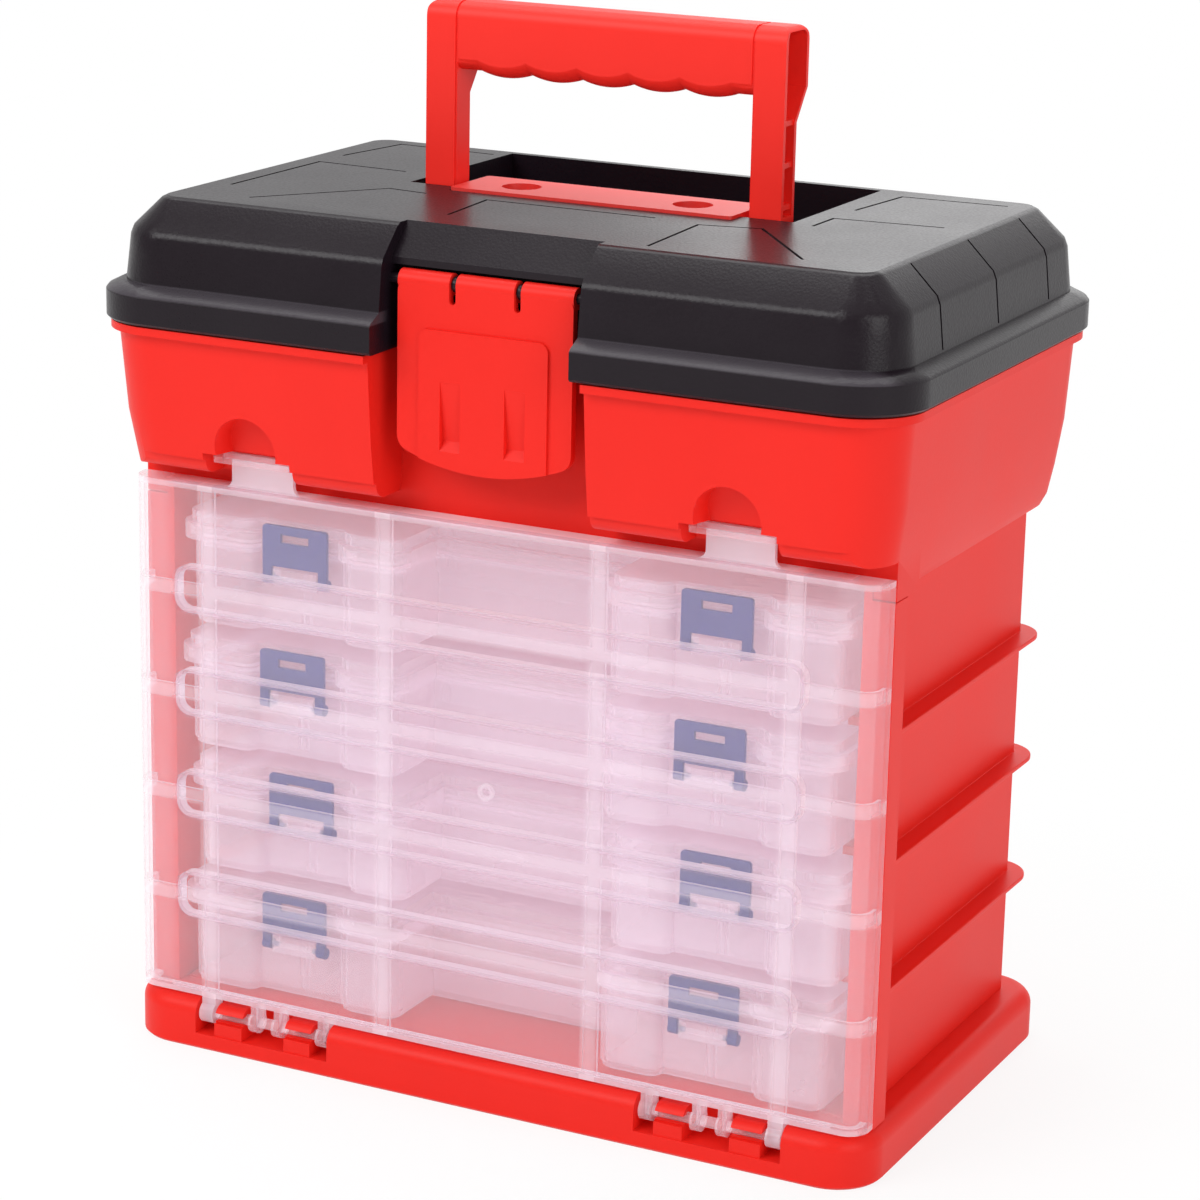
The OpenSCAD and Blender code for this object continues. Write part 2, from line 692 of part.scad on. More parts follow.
// Lugs and rod of one lid hinge
module lid_lugs() {
    inner = lid_hinge_x - knuckle_w / 2 - 0.5;
    outer = lid_hinge_x + knuckle_w / 2 + 0.5;
    bar_x(inner - 1, outer + 1, lid_rod_y, lid_rod_z, lid_rod_r);
    for (x = [inner - lid_lug_t, outer])
        along_x(x, x + lid_lug_t) {
            translate([lid_rod_y, lid_rod_z]) circle(knuckle_r);
            polygon([[lid_y1 - 1.5, lid_z + 0.8], [lid_rod_y, lid_rod_z - 1],
                [lid_rod_y + knuckle_r - 0.6, lid_rod_z + 2], [lid_y1 + 1, lid_z + lip_h - 1.5],
                [lid_y1 - 1.5, lid_z + lip_h - 1.5]]);
        }
}

// One straight stretch of a moulded groove in the lid top
module groove(a, b) {
    run = b - a;
    translate([a[0], a[1], lid_top - 0.7]) rotate([0, 0, atan2(run[1], run[0])])
        translate([-groove_w / 2, -groove_w / 2, 0]) cube([norm(run) + groove_w, groove_w, 2]);
}

// A bent groove through a list of corner points
module groove_line(points)
    for (k = [0:len(points) - 2]) groove(points[k], points[k + 1]);

// Plain decorative grooves of the lid top: bent lines that follow its slopes and corners
module lid_grooves() {
    lines = [[[-0.81, 0.16], [-0.78, 0.34], [-0.52, 0.33]], [[-0.81, -0.24], [-0.81, 0.07], [-0.57, 0.06]],
        [[-0.68, -0.34], [-0.48, -0.12], [-0.38, -0.13]], [[-0.2, -0.3], [-0.22, -0.13], [0.2, -0.13]],
        [[0.34, -0.38], [0.32, -0.15], [0.46, -0.125], [0.68, -0.35]], [[0.54, -0.05], [0.54, 0.04], [0.79, 0.06]],
        [[0.54, 0.14], [0.56, 0.32], [0.81, 0.33]]];
    for (line = lines) groove_line([for (p = line) [p[0] * lid_half, p[1] * (lid_y1 - lid_y0)]]);
}

// Three shallow grooves down the slope and the wall of one side of the lid
module side_grooves() {
    depth = 0.5;
    for (y = [-0.26, 0, 0.25] * (lid_y1 - lid_y0))
        translate([lid_half - lid_inset - upper_corner, 0, 0]) along_y(y - groove_w / 2, y + groove_w / 2)
            difference() {
                translate([lid_slope - 2, lid_z + lip_h + 3]) square([upper_corner, lid_h]);
                upper_outline(depth, lid_z, lid_top - depth);
            }
}

// Profile of the handle seen from the side: legs below, deeper hollow grip above
module handle_profile(inset) {
    y0 = pivot_y - leg_d / 2 + inset;
    y1 = pivot_y + leg_d / 2 - inset;
    y2 = y0 + grip_d - 2 * inset;
    top = lid_top + handle_rise - inset;
    r = 5 - inset;
    polygon([[y0, pivot_z], [y1, pivot_z], [y1, grip_z - 6], [y2, grip_z + 4], [y2, top - r], [y0, top - r]]);
    round_span(y0, y2, grip_z + 4, top, r);
}

// Handle: hollow grip with finger lobes on two hollow legs with round feet and pivot studs
module handle() color(red) {
    half = handle_w / 2;
    top = lid_top + handle_rise;
    difference() {
        union() {
            along_x(-half, half) handle_profile(0);
            both_sides() bar_x(opening_half, half, pivot_y, pivot_z, leg_d / 2);
        }
        handle_opening();
        along_y(-base_d, base_d) both_corners(half, top);
        along_x(-half - over, half + over) handle_bore();
        both_sides() difference() {
            along_x(opening_half + handle_wall, half + over) handle_profile(handle_wall);
            for (share = [0.09, 0.46, 0.83])
                translate([0, 0, lid_top + share * (grip_z - lid_top)])
                    span(0, half - 0.6, -base_d, base_d, -0.8, 0.8);
            span(0, half + 2 * over, -base_d, base_d, 0, pivot_z + 4.2);
        }
        both_sides() along_x(opening_half - 0.4, opening_half + 0.5) difference() {
            handle_profile(-over);
            handle_profile(0.5);
        }
    }
    both_sides() bar_x(bracket_w / 2 - 5, opening_half + 1, pivot_y, pivot_z, pivot_r);
}

// Finger opening between the legs, under a grip with five round lobes and rounded lower edges
module handle_opening() {
    lobes = 5;
    mid = pivot_y - leg_d / 2 + grip_d / 2;
    deep = grip_d / 2 + 0.3;
    inner_r = finger_r - grip_edge;
    rise = finger_r - sqrt(inner_r * inner_r - finger_half * finger_half);
    difference() {
        span(-opening_half, opening_half, -base_d, base_d, pivot_z - leg_d, grip_z + rise);
        for (k = [0:lobes - 1])
            translate([(k - (lobes - 1) / 2) * finger_pitch, mid, grip_z + finger_r]) finger_disc(deep);
        both_sides() along_x(lobes / 2 * finger_pitch - 4, opening_half + over)
            round_span(mid - deep, mid + deep, grip_z + finger_drop, grip_z + 3 * grip_edge, grip_edge);
    }
}

// A disc with a round rim, a little deeper than the grip that it shapes
module finger_disc(deep)
    rotate([90, 0, 0]) rotate_extrude() {
        translate([0, -deep]) square([finger_r - grip_edge, 2 * deep]);
        translate([0, grip_edge - deep]) square([finger_r, 2 * (deep - grip_edge)]);
        for (s = [-1, 1]) translate([finger_r - grip_edge, s * (deep - grip_edge)]) circle(grip_edge);
    }

// Rounded upper corners of the handle in the front view
module both_corners(half, top) {
    r = 3;
    for (s = [-1, 1])
        difference() {
            translate([s * half - r, top - r]) square([2 * r, 2 * r]);
            translate([s * (half - r), top - r]) circle(r);
            translate([s * (half - r) - (s > 0 ? 2 * r : 0), top - 3 * r]) square([2 * r, 3 * r]);
            translate([s * half - r, top - 3 * r]) square([2 * r, 2 * r]);
        }
}

// Bore through the grip from end to end
module handle_bore() {
    y0 = pivot_y - leg_d / 2 + handle_wall;
    top = lid_top + handle_rise - handle_wall;
    round_span(y0, y0 + grip_d - 2 * handle_wall, grip_z + finger_drop + handle_wall, top, 2.5);
}

// Bracket: a shallow cap with screw bosses, counterbores and pivot bores in its ends
module handle_bracket() color(red) {
    half = bracket_w / 2;
    top = lid_top + 1;
    difference() {
        union() {
            difference() {
                translate([0, 0, seat_z]) linear_extrude(top - seat_z)
                    round_span(-half, half, -bracket_d / 2, bracket_d / 2, 1.5);
                span(-half + 5, half - 5, -bracket_d / 2 + 2, bracket_d / 2 - 2, seat_z - over, top - 2.4);
            }
            for (x = [-screw_x, screw_x])
                translate([x, 0, seat_z]) cylinder(h = top - seat_z - 0.5, r = counterbore_r + 1.6);
        }
        for (x = [-screw_x, screw_x]) {
            translate([x, 0, seat_z + 2]) cylinder(h = 20, r = counterbore_r);
            translate([x, 0, seat_z - over]) cylinder(h = 20, r = 2.2);
        }
        bar_x(-half - over, half + over, pivot_y, pivot_z, pivot_r + play);
    }
}

// The two bracket screws: round heads on plain shanks
module bracket_screws() color(steel)
    for (x = [-screw_x, screw_x])
        translate([x, 0, seat_z + 2]) {
            difference() {
                cylinder(h = 2.2, r = 3.8);
                translate([0, 0, 1]) cylinder(h = 2, r = 1.6, $fn = 6);
            }
            translate([0, 0, -8.5]) cylinder(h = 9, r = 2);
        }

// Front latch: plate with a bowed bottom edge, raised panel, finger grooves and slit hinge barrel
module front_latch() color(red) {
    y0 = latch_y - latch_r;
    difference() {
        union() {
            along_y(y0 + 0.1, y0 + latch_t) difference() {
                latch_outline(latch_w / 2, latch_z);
                both_sides() latch_corner_cut();
            }
            along_y(y0 - 0.8, y0 + 1) latch_outline(latch_panel_w / 2, latch_z - 13.5);
            bar_x(-latch_w / 2, latch_w / 2, latch_y, latch_z, latch_r);
            span(-13, 13, y0 + 1, catch_y - fit_gap - 0.2, block_z + 23.5, block_z + 26);
        }
        bar_x(-latch_w, latch_w, latch_y, latch_z, latch_rod_r + play);
        span(-latch_w, latch_w, latch_y, latch_y + 6, latch_z - 1.1, latch_z + 1.1);
        both_sides() {
            along_y(y0 - 2, latch_y + 6) {
                translate([slit_x - 1.1, latch_z - 4.5]) square([2.2, 20]);
                translate([slit_x, latch_z - 4.5]) circle(1.1);
            }
            along_x(slit_x - 3.4, slit_x + 3.4)
                polygon([[y0 - 2, latch_z - 28], [y0 - 0.7, latch_z - 29], [y0 + 1.4, latch_z - 47],
                    [y0 - 2, latch_z - 51.5]]);
        }
    }
}

// Front view of the latch: straight sides below a given height and a bowed bottom edge
module latch_outline(half, top)
    intersection() {
        round_span(-half, half, latch_z - latch_len - latch_bow - 6, top, min(3, half / 4));
        translate([0, bow_z]) circle(bow_r, $fn = 96);
    }

// What is cut from a lower corner of the latch so that its side runs into the bowed edge in a round
module latch_corner_cut() {
    r = latch_corner;
    x = latch_w / 2 - r;
    z = bow_z - sqrt(pow(bow_r - r, 2) - x * x);
    last = acos(x / (bow_r - r));
    arc = [for (k = [0:6]) [x + r * cos(last * k / 6), z - r * sin(last * k / 6)]];
    polygon(concat(arc, [[x + 2 * r * cos(last), z - 2 * r * sin(last)], [x + 2 * r, z - 2 * r], [x + 2 * r, z]]));
}

// Door: clear sheet with round upright edges, inner ribs, bumper loops, snap tabs and hinge lugs
module door() color(clear) {
    inner_y = door_y + door_t;
    difference() {
        translate([0, 0, door_z0]) linear_extrude(door_h) door_plan(0, 0);
        translate([0, 0, door_z0 - over]) linear_extrude(door_h + over - door_t) door_plan(door_t, over);
    }
    translate([0, 0, door_z0]) linear_extrude(door_t) difference() {
        door_plan(door_t - 0.4, 0);
        door_plan(door_t + 2.4, over);
    }
    both_sides() for (x = [rib_inner_x, rib_outer_x])
        span(x - rib_w / 2, x + rib_w / 2, inner_y - 0.5, inner_y + rib_t, door_z0, door_z1);
    for (k = [1:box_count]) door_bumper(door_z0 + door_h * k / (box_count + 1) - loop_drop, inner_y);
    translate([0, door_y + 0.5, door_z0 + door_h / 2]) rotate([90, 0, 0]) cylinder(h = 0.8, r = 1.8);
    both_sides() {
        door_tab();
        bar_x(lugs[3][0], lugs[0][0], rod_y, rod_z, rod_r);
        for (lug = lugs) along_x(lug[0] - lug[1] / 2, lug[0] + lug[1] / 2) {
            translate([rod_y, rod_z]) circle(lug_r);
            translate([door_y, rod_z]) square([4.4, door_z0 + 1 - rod_z]);
        }
    }
}

// The door seen from above: front sheet and side returns, shrunk by a wall and carried past their back edge
module door_plan(wall, past) {
    r = max(door_corner - wall, 1);
    half = door_half - wall;
    y0 = door_y + wall;
    y1 = door_y + door_d + past;
    intersection() {
        translate([-half, y0]) square([2 * half, y1 - y0]);
        union() {
            translate([-half, y0 + r]) square([2 * half, y1 - y0]);
            translate([-half + r, y0]) square([2 * half - 2 * r, y1 - y0]);
            for (x = [-half + r, half - r]) translate([x, y0 + r]) circle(r);
        }
    }
}

// One flat band inside the door, which turns into the side returns, and the long loop round it
module door_bumper(z, y) {
    left = -rib_outer_x - loop_left;
    right = rib_outer_x + loop_right;
    low = z - loop_h / 2;
    translate([0, 0, z - 1.3]) linear_extrude(4) difference() {
        door_plan(door_t - 0.4, 0);
        door_plan(door_t + rib_t, over);
    }
    along_y(y - 0.5, y + loop_d) difference() {
        round_span(left, right, low, low + loop_h, 5);
        round_span(left + loop_wall, right - loop_wall, low + loop_wall, low + loop_h - loop_wall, 5 - loop_wall);
    }
}

// One snap tab: a tongue on the top edge with a forward lip and a small back bead
module door_tab() {
    neck_y = post_y - 6.4;
    root = 2.6;
    span(tab_x - tab_w / 2, tab_x + tab_w / 2, neck_y, neck_y + 1.6, door_z1 - 1, block_z + 5.9);
    along_y(neck_y, neck_y + 1.6) for (s = [-1, 1]) difference() {
        translate([tab_x + s * tab_w / 2 - root, door_z1 - 1]) square([2 * root, root + 1]);
        translate([tab_x + s * (tab_w / 2 + root), door_z1 + root]) circle(root);
    }
    translate([0, 0, block_z + 3.9]) linear_extrude(2)
        round_span(tab_x - tab_lip_w / 2, tab_x + tab_lip_w / 2, door_y - 3, neck_y + 1.6, 1);
    bar_x(tab_x - 8, tab_x + 8, neck_y + 1.5, block_z + 3, 0.6);
}

// Plan of an organiser box from its front edge, shrunk by an inset and once more at its two ends
module box_plan(inset, ends = 0) {
    half = box_w / 2 - ends;
    bay0 = clip_x - clip_bay_w / 2;
    bay1 = clip_x + clip_bay_w / 2;
    deep = box_setback + 20;
    r = lobe_corner - inset;
    round_span(-half + inset, half - inset, box_setback + inset, box_d - inset, box_corner - inset);
    both_sides() {
        round_span(lobe_start + inset, bay0 - inset, inset, deep, r);
        round_span(bay1 + inset, half - inset, inset, deep, r);
        round_span(bay0 - lobe_corner, bay1 + lobe_corner, clip_bay_d + inset, deep, r);
    }
}

// Puts a box piece in its place in the rack
module in_rack(i) translate([box_shift[i - 1], box_y, box_z(i)]) children();

// Tray: lobed shell with a rounded foot, a middle wall, divider ribs, latch blocks and hinge ears
module box_tray(i) color(clear) in_rack(i) {
    half = box_w / 2 - tray_inset - tray_ends - 1;
    difference() {
        union() {
            linear_extrude(1) box_plan(tray_inset + 2.2, tray_ends);
            translate([0, 0, 0.8]) linear_extrude(2) box_plan(tray_inset + 0.8, tray_ends);
            translate([0, 0, tray_floor]) linear_extrude(tray_h - tray_floor) box_plan(tray_inset, tray_ends);
        }
        translate([0, 0, tray_floor]) linear_extrude(box_h) box_plan(tray_inset + box_wall, tray_ends);
    }
    span(-half, half, mid_wall_y - 0.7, mid_wall_y + 0.7, 1, tray_h - 6);
    for (d = divider_places()) divider_ribs(d);
    both_sides() {
        difference() {
            span(clip_x - clip_w / 2 + clip_leg + 0.5, clip_x + clip_w / 2 - clip_leg - 0.5, 0.4,
                clip_bay_d + tray_inset + 0.5, clip_axis_h - 2.3, clip_axis_h + 3.2);
            bar_x(0, box_w, clip_y, clip_axis_h, clip_pin_r + play);
        }
        box_hinge_ears();
    }
}

// Places of the dividers: X, start and end in Y
function divider_places() =
    concat([for (x = [-box_w / 4, 0, box_w / 4]) [x, mid_wall_y + 0.7, box_d - tray_inset - box_wall]],
           [for (x = [-clip_x, clip_x]) [x, clip_bay_d + tray_inset + box_wall, mid_wall_y - 0.7]]);

// Ribs that hold the two ends of one divider
module divider_ribs(d)
    for (side = [-1, 1], y = [d[1] - 0.3, d[2] - 1.2])
        translate([d[0] + side * (divider_t / 2 + 0.65) - 0.5, y, 1]) cube([1, 1.5, tray_h - 7]);

module box_dividers(i) color(clear) in_rack(i)
    for (d = divider_places())
        span(d[0] - divider_t / 2, d[0] + divider_t / 2, d[1] + 0.15, d[2] - 0.15, tray_floor + 0.05, tray_h - 4);

// Ears of one hinge at the back of the tray
module box_hinge_ears()
    for (x = [box_w / 4 - 9, box_w / 4 + 7])
        along_x(x, x + 2) {
            translate([box_hinge_y, tray_h]) circle(1.6);
            translate([box_d - tray_inset - 0.5, tray_h - 4]) square([box_hinge_y - box_d + tray_inset + 0.5, 4]);
        }

// Box lid: stepped cap with an inner lip, latch ledges and hinge barrels
module box_lid(i) color(clear) in_rack(i) {
    low = tray_h + 0.2;
    step = box_h - 3.5;
    difference() {
        union() {
            translate([0, 0, low]) linear_extrude(step - low) box_plan(0);
            translate([0, 0, step - 1]) linear_extrude(box_h - step + 1) box_plan(box_lid_step);
        }
        translate([0, 0, low - over]) linear_extrude(step - low + over - 1.4) box_plan(box_wall);
        translate([0, 0, low - over]) linear_extrude(box_h - low + over - 1.4) box_plan(box_lid_step + 1.4);
    }
    translate([0, 0, tray_h - 2.5]) linear_extrude(3.7) difference() {
        box_plan(lip_inset, tray_ends);
        box_plan(lip_inset + 1.1, tray_ends);
    }
    lid_ring(low);
    both_sides() {
        span(clip_x - 8, clip_x + 8, clip_bay_d - 0.9, clip_bay_d + 1, step - 2, step - 0.4);
        box_hinge_barrel();
    }
}

// Web that joins the inner lip to the wall of the box lid
module lid_ring(low)
    translate([0, 0, low]) linear_extrude(1) difference() {
        box_plan(box_wall - 0.2);
        box_plan(lip_inset + 1.1, tray_ends);
    }

// Barrel of the box lid between the ears of the tray
module box_hinge_barrel()
    along_x(box_w / 4 - 6.6, box_w / 4 + 6.6) {
        translate([box_hinge_y, tray_h]) circle(1.5);
        translate([box_d - 0.5, tray_h + 0.4]) square([box_hinge_y - box_d + 0.5, 4]);
    }

// Box latch: plate with a window and two legs that swing on studs in the tray's block
module box_latch(i, side) color(blue) in_rack(i) translate([side * clip_x, 0, 0]) {
    half = clip_w / 2;
    top = clip_top_z;
    along_y(clip_y - clip_t, clip_y) difference() {
        union() {
            round_span(-half, half, clip_plate_z, top, 1.2);
            for (x = [-half, half - clip_leg])
                translate([x, clip_axis_h]) square([clip_leg, clip_plate_z - clip_axis_h + 3]);
        }
        translate([-5, top - 5.4]) square([10, 2.8]);
    }
    for (x = [-half, half - clip_leg]) bar_x(x, x + clip_leg, clip_y, clip_axis_h, 1.8);
    bar_x(-half + 0.5, -half + clip_leg + 1.8, clip_y, clip_axis_h, clip_pin_r);
    bar_x(half - clip_leg - 1.8, half - 0.5, clip_y, clip_axis_h, clip_pin_r);
    span(-7, 7, clip_y - 0.4, clip_bay_d - 0.5, box_h - 3.5, box_h - 2);
}

base();
left_panel();
right_panel();
back_panel();
tub();
lid();
handle();
handle_bracket();
bracket_screws();
front_latch();
door();
for (i = [1:box_count]) {
    box_tray(i);
    box_lid(i);
    box_latch(i, -1);
    box_latch(i, 1);
    box_dividers(i);
}
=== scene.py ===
"""Looks of a rack tackle box: moulded red cabinet, grained black lid, milky clear door and boxes.

The CAD nodes keep their shapes. This script rounds their edges, gives each a procedural
material and sets up the camera, the lights and the floor. Lengths are metres in the CAD frame.
"""
import math

import bpy
from mathutils import Matrix, Vector

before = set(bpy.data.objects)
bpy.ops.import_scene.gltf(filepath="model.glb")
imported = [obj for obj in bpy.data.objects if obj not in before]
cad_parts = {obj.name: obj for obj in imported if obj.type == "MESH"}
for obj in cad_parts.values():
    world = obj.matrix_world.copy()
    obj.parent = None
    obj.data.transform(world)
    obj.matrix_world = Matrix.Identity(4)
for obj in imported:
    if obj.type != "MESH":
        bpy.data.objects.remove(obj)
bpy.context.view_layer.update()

# Places of the door's thicker stretches, as in the part's source
DOOR_Z0, DOOR_Z1 = 0.0173, 0.1872
RIB_W, RIB_INNER_X, RIB_OUTER_X = 0.005, 0.0365, 0.100
BAND_COUNT, BAND_HALF, BAND_RISE = 4, 0.002, -0.0005
RIM_HALF, RIM_INSET = 0.0009, 0.0008
LOOP_Y, LOOP_END_X = -0.0713, 0.116
MARGIN_X, MARGIN_SOFT, RETURN_X = 0.1115, 0.004, 0.1255
LUG_TOP = DOOR_Z0 - 0.0005
GATE_Z, GATE_R, GATE_HALF = 0.104, 0.0021, 0.0004

# The lid's ledge above its front lip, painted paler as painted light
LEDGE_Z, LEDGE_HALF, LEDGE_Y, LEDGE_SOFT = 0.2490, 0.0015, -0.0815, 0.004

# Light on the object from the surround, and how white the surround is to gloss
WORLD_LIGHT = 0.384
GLOSS_FRONT, GLOSS_BACK = 0.2, 0.84

# Half the floor's width, and the distances between which its share of plain white grows to 1
FLOOR_HALF, FLOOR_NEAR, FLOOR_FADE, FLOOR_SHARE = 4.0, 0.16, 0.14, 0.86


class Value:
    """A number in a node tree. Arithmetic on it adds Math nodes to the tree."""

    def __init__(self, graph, socket):
        self.graph, self.socket = graph, socket

    def math(self, operation, *others):
        return self.graph.make("ShaderNodeMath", [self, *others], operation=operation)

    def __add__(self, other):
        return self.math("ADD", other)

    def __sub__(self, other):
        return self.math("SUBTRACT", other)

    def __mul__(self, other):
        return self.math("MULTIPLY", other)

    def __truediv__(self, other):
        return self.math("DIVIDE", other)

    def __rsub__(self, other):
        return self.graph.make("ShaderNodeMath", [other, self], operation="SUBTRACT")

    def __pow__(self, other):
        return self.math("POWER", other)

    __radd__ = __add__
    __rmul__ = __mul__

    def limit(self, low, high):
        """The value held between two bounds."""
        return self.math("MAXIMUM", low).math("MINIMUM", high)


class Graph:
    """The node tree of a material or of the surround, built by adding nodes fed by values or numbers."""

    def __init__(self, owner, place="Object"):
        owner.use_nodes = True
        self.owner, self.tree = owner, owner.node_tree
        self.tree.nodes.clear()
        self.place = self.make("ShaderNodeTexCoord", out=place)

    def make(self, kind, inputs=(), out=0, **settings):
        """Adds a node, sets its properties, feeds its inputs by index or name, returns one output."""
        node = self.tree.nodes.new(kind)
        for key, value in settings.items():
            setattr(node, key, value)
        pairs = inputs.items() if isinstance(inputs, dict) else enumerate(inputs)
        for key, value in pairs:
            if isinstance(value, Value):
                self.tree.links.new(value.socket, node.inputs[key])
            else:
                node.inputs[key].default_value = value
        return Value(self, node.outputs[out]) if len(node.outputs) else None

    def noise(self, scale, detail=2.0, rough=0.5, stretch=None):
        """Smooth noise from 0 to 1 whose cells are about 1/scale metres wide."""
        place = self.place
        if stretch:
            place = self.make("ShaderNodeMapping", {"Vector": place, "Scale": stretch})
        return self.make("ShaderNodeTexNoise",
                         {"Vector": place, "Scale": scale, "Detail": detail, "Roughness": rough})

    def blend(self, factor, a, b):
        """Colour a where factor is 0, colour b where it is 1."""
        return self.make("ShaderNodeMix", {0: factor, 6: (*a, 1.0), 7: (*b, 1.0)}, out=2, data_type="RGBA")

    def bump(self, height, strength, distance):
        return self.make("ShaderNodeBump", {"Height": height, "Strength": strength, "Distance": distance})

    def axis(self, letter):
        """One coordinate of the place: metres of the CAD frame, or the direction in the surround."""
        return self.make("ShaderNodeSeparateXYZ", [self.place], out=letter)

    def band(self, value, middle, half, soft=0.0003):
        """1 where value lies within half of the middle, 0 outside, with a soft edge."""
        return (((half + soft) - (value - middle).math("ABSOLUTE")) / soft).limit(0.0, 1.0)

    def above(self, value, level, soft=0.0005):
        """0 below the level and 1 above it, with a soft edge."""
        return ((value - level) / soft).limit(0.0, 1.0)

    def rise(self, value, start, end, low, high):
        """Grows from low to high while value goes from start to end, and is flat outside."""
        return self.make("ShaderNodeMapRange", [value, start, end, low, high])

    def rays(self, *kinds):
        """1 for rays of any of the kinds, such as Camera or Glossy, 0 for the others."""
        first, *rest = (self.make("ShaderNodeLightPath", out=f"Is {kind} Ray") for kind in kinds)
        for ray in rest:
            first = first.math("MAXIMUM", ray)
        return first

    def principled(self, **inputs):
        names = {key.replace("_", " "): value for key, value in inputs.items()}
        return self.make("ShaderNodeBsdfPrincipled", names, out="BSDF")

    def finish(self, shader, output="ShaderNodeOutputMaterial"):
        self.make(output, {"Surface": shader})
        return self.owner


def material(name):
    return Graph(bpy.data.materials.new(name))


def red_plastic(name, dark, light, gloss):
    """Satin red polypropylene: faint flow mottling and a soft moulded grain."""
    g = material(name)
    flow = g.noise(18.0, 3.0, 0.55, stretch=(1.0, 1.0, 0.35))
    fine = g.noise(900.0)
    tone = (flow * 0.8 + fine * 0.2).limit(0.0, 1.0)
    shader = g.principled(Base_Color=g.blend(tone, dark, light), Roughness=0.34 + flow * 0.12 + fine * 0.05,
                          Normal=g.bump(fine, 0.10, 0.0002), Specular_IOR_Level=gloss)
    return g.finish(shader)


def black_plastic():
    """Near-black polypropylene with a fine leather-like grain, and the ledge above the front lip painted
    paler: painted light standing in for the light that the up-facing ledge catches.
    """
    g = material("black_plastic")
    grain = g.make("ShaderNodeTexVoronoi", {"Vector": g.place, "Scale": 1100.0}, out="Distance")
    cloud = g.noise(25.0, 3.0)
    # Painted light: the ledge band is painted paler in place of the light it catches from above and in front;
    # the cloud is random tone
    painted_ledge_light = g.band(g.axis("Z"), LEDGE_Z, LEDGE_HALF) * (1.0 - g.above(g.axis("Y"), LEDGE_Y, LEDGE_SOFT))
    colour = g.blend(cloud * 0.15 + painted_ledge_light * 0.85, (0.007, 0.003, 0.006), (0.050, 0.042, 0.051))
    shader = g.principled(Base_Color=colour, Roughness=0.23 + cloud * 0.10 + grain * 0.08,
                          Normal=g.bump(grain, 0.14, 0.00025), Specular_IOR_Level=0.23)
    return g.finish(shader)


def clear_plastic(name, tint, milk, edge, rough, ribs=None, painted_glow=0.0):
    """Clear moulded plastic: a thin milky veil, whiter at grazing views and, where given, on its ribs.

    The glow is painted light: a faint pink emission that stands in for light scattered inside the milky walls
    and bounced off the red cabinet.
    """
    g = material(name)
    streak = g.noise(30.0, 4.0, 0.6, stretch=(0.25, 1.0, 1.0))
    facing = g.make("ShaderNodeLayerWeight", {"Blend": 0.35}, out="Facing")
    alpha = milk * (0.8 + streak * 0.4) + facing ** 2.0 * edge
    if ribs:
        alpha = alpha + ribs(g)
    colour = g.blend(streak, tint, tuple(min(1.0, c * 1.04) for c in tint))
    # Painted light: the pink emission makes the veil glow in place of scattered and bounced light
    shader = g.principled(Base_Color=colour, Roughness=rough + streak * 0.06, Alpha=alpha.limit(0.0, 1.0),
                          Normal=g.bump(streak, 0.04, 0.0004), Specular_IOR_Level=0.5,
                          Emission_Color=(1.0, 0.72, 0.87, 1.0), Emission_Strength=painted_glow)
    return g.finish(shader)


def door_ribs(g):
    """Extra veil where the door is thicker: uprights, bands, rims, margins, loops, lugs and moulding point."""
    x, y, z = g.axis("X").math("ABSOLUTE"), g.axis("Y"), g.axis("Z")
    ribs = g.band(x, RIB_INNER_X, RIB_W / 2).math("MAXIMUM", g.band(x, RIB_OUTER_X, RIB_W / 2))
    for k in range(1, BAND_COUNT + 1):
        middle = DOOR_Z0 + (DOOR_Z1 - DOOR_Z0) * k / (BAND_COUNT + 1) + BAND_RISE
        ribs = ribs.math("MAXIMUM", g.band(z, middle, BAND_HALF))
    rims = g.band(z, DOOR_Z1 - RIM_INSET, RIM_HALF).math("MAXIMUM", g.band(z, DOOR_Z0 + RIM_INSET, RIM_HALF))
    loops = g.above(y, LOOP_Y) * (1.0 - g.above(x, LOOP_END_X))
    margins = g.above(x, MARGIN_X, MARGIN_SOFT) * 0.05 - g.above(x, RETURN_X) * 0.11
    lugs = 1.0 - g.above(z, LUG_TOP)
    gate = g.band((x * x + (z - GATE_Z) * (z - GATE_Z)).math("SQRT"), GATE_R, GATE_HALF)
    return ribs * 0.12 + rims * 0.16 + loops * 0.42 + margins + lugs * 0.08 + gate * 0.16


def blue_plastic():
    """Satin blue polypropylene of the box latches."""
    g = material("blue_plastic")
    flow = g.noise(60.0, 3.0)
    fine = g.noise(1200.0)
    colour = g.blend(flow, (0.010, 0.020, 0.20), (0.018, 0.030, 0.27))
    shader = g.principled(Base_Color=colour, Roughness=0.36 + fine * 0.1,
                          Normal=g.bump(fine, 0.08, 0.0002), Specular_IOR_Level=0.3)
    return g.finish(shader)


def plated_steel():
    """Zinc-plated steel with fine turning marks."""
    g = material("plated_steel")
    marks = g.noise(2500.0, stretch=(1.0, 1.0, 0.2))
    colour = g.blend(marks, (0.48, 0.48, 0.50), (0.66, 0.66, 0.68))
    shader = g.principled(Base_Color=colour, Metallic=1.0, Roughness=0.28 + marks * 0.2,
                          Normal=g.bump(marks, 0.1, 0.0001))
    return g.finish(shader)


